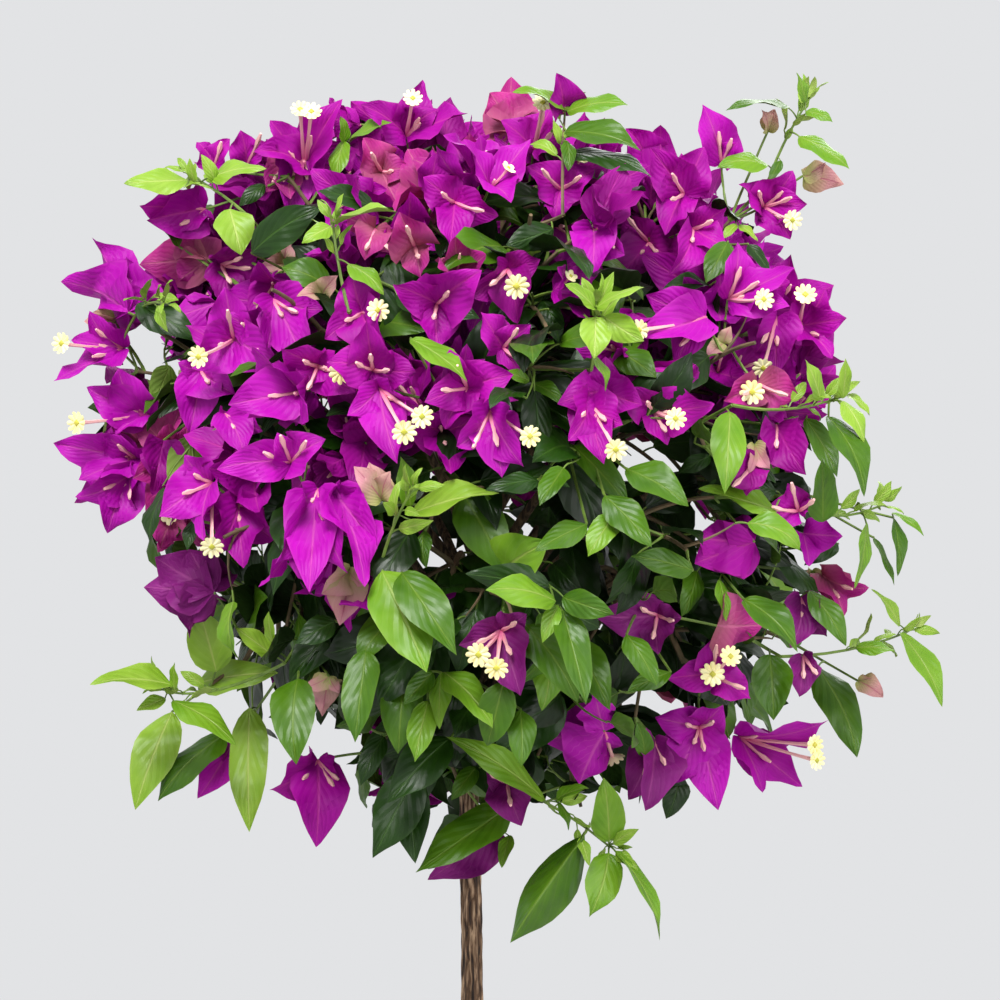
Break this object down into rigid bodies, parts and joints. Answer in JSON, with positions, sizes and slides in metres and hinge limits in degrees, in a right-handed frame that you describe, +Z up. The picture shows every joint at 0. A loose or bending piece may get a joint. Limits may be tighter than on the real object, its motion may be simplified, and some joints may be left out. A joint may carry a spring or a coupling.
{
  "type": "bougainvillea standard",
  "caption": "Bougainvillea grown as a standard: one slim bare stem rooted in the ground, and a round head of boughs with leaves and magenta bracts.",
  "frame": {"origin": "centre of the flat cut under the stem, at ground level", "axes": "+Z up along the stem, -Y towards the side of the head that is seen from the front, +X to the right of it"},
  "size_m": [0.3988, 0.3609, 0.7145],
  "materials": {
    "bark": "furrowed brown bark, matt",
    "bough_bark": "young brown-green bark, matt",
    "bracts": "papery magenta bracts, satin",
    "leaves": "smooth green leaves, semi-gloss"
  },
  "bodies": {
    "root": {"stem": "bark", "bough_top_centre": "bough_bark", "foliage_top_centre": "bracts", "bough_top_left": "bough_bark", "foliage_top_left": "bracts", "bough_top_right": "bough_bark", "foliage_top_right": "bracts", "bough_front_top": "bough_bark", "foliage_front_top": "bracts", "bough_front_top_left": "bough_bark", "foliage_front_top_left": "bracts", "bough_front_top_right": "bough_bark", "foliage_front_top_right": "bracts", "bough_left": "bough_bark", "foliage_left": "bracts", "bough_front_middle": "bough_bark", "foliage_front_middle": "bracts", "bough_front_left": "bough_bark", "foliage_front_left": "bracts", "bough_front_right": "bough_bark", "foliage_front_right": "leaves", "bough_right": "bough_bark", "foliage_right": "leaves", "bough_front_low": "bough_bark", "foliage_front_low": "leaves", "bough_low_left": "bough_bark", "foliage_low_left": "leaves", "bough_low_right": "bough_bark", "foliage_low_right": "bracts", "bough_right_low": "bough_bark", "foliage_right_low": "leaves", "bough_bottom_right": "bough_bark", "foliage_bottom_right": "leaves", "bough_bottom_left": "bough_bark", "foliage_bottom_left": "leaves", "bough_back_top": "bough_bark", "foliage_back_top": "bracts", "bough_back_left": "bough_bark", "foliage_back_left": "bracts", "bough_back_right": "bough_bark", "foliage_back_right": "bracts", "bough_back_middle": "bough_bark", "foliage_back_middle": "leaves", "bough_back_low_left": "bough_bark", "foliage_back_low_left": "bracts", "bough_back_low_right": "bough_bark", "foliage_back_low_right": "leaves", "bough_bottom_back": "bough_bark", "foliage_bottom_back": "leaves"}
  },
  "joints": []
}
